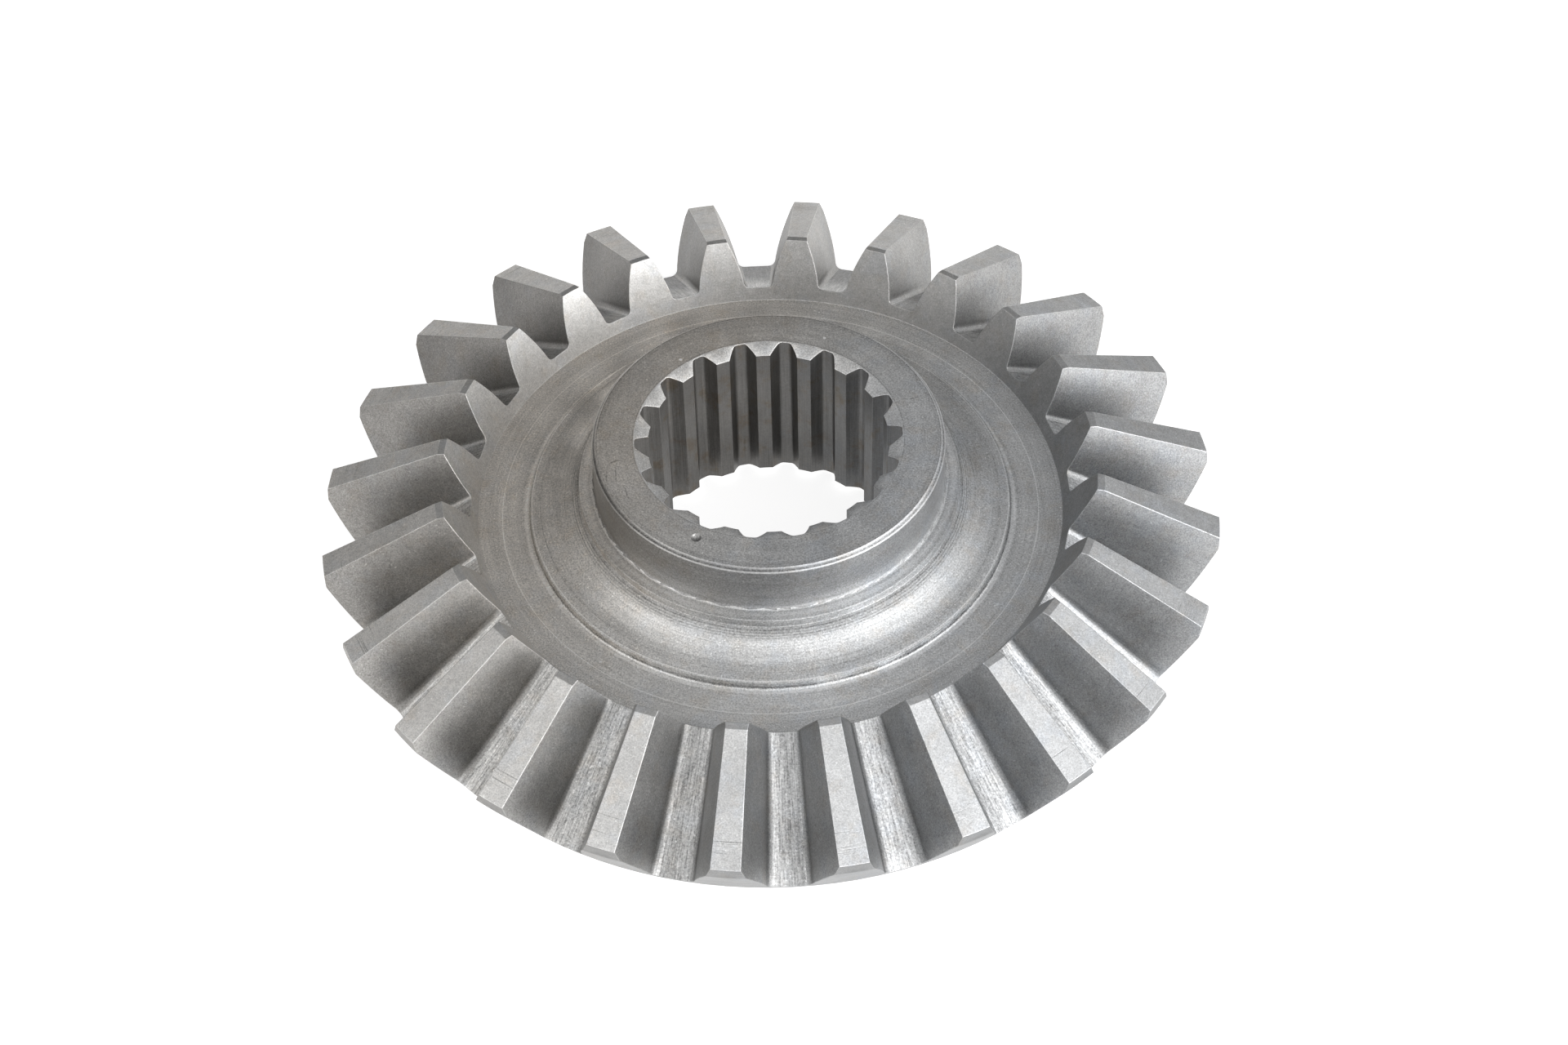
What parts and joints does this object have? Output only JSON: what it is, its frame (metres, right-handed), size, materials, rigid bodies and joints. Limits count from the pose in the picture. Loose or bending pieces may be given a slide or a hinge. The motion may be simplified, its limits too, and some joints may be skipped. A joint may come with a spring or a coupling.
{
  "type": "straight bevel gear",
  "caption": "Straight bevel gear with a raised hub and a splined bore, turned and cut from one piece of steel, lying on its back face.",
  "frame": {"origin": "on the gear's axis, in the plane of the back face, which is the centre of the bottom of its box", "axes": "+Z along the gear's axis, from the back face to the hub face and the pitch apex; +X through the middle of a tooth"},
  "size_m": [0.1704, 0.1704, 0.034],
  "materials": {
    "machined_steel": "bare machined steel, matte grey, with turning rings on the hub and dish and milled streaks in the tooth spaces"
  },
  "bodies": {
    "root": {"bevel_gear": "machined_steel"}
  },
  "joints": []
}
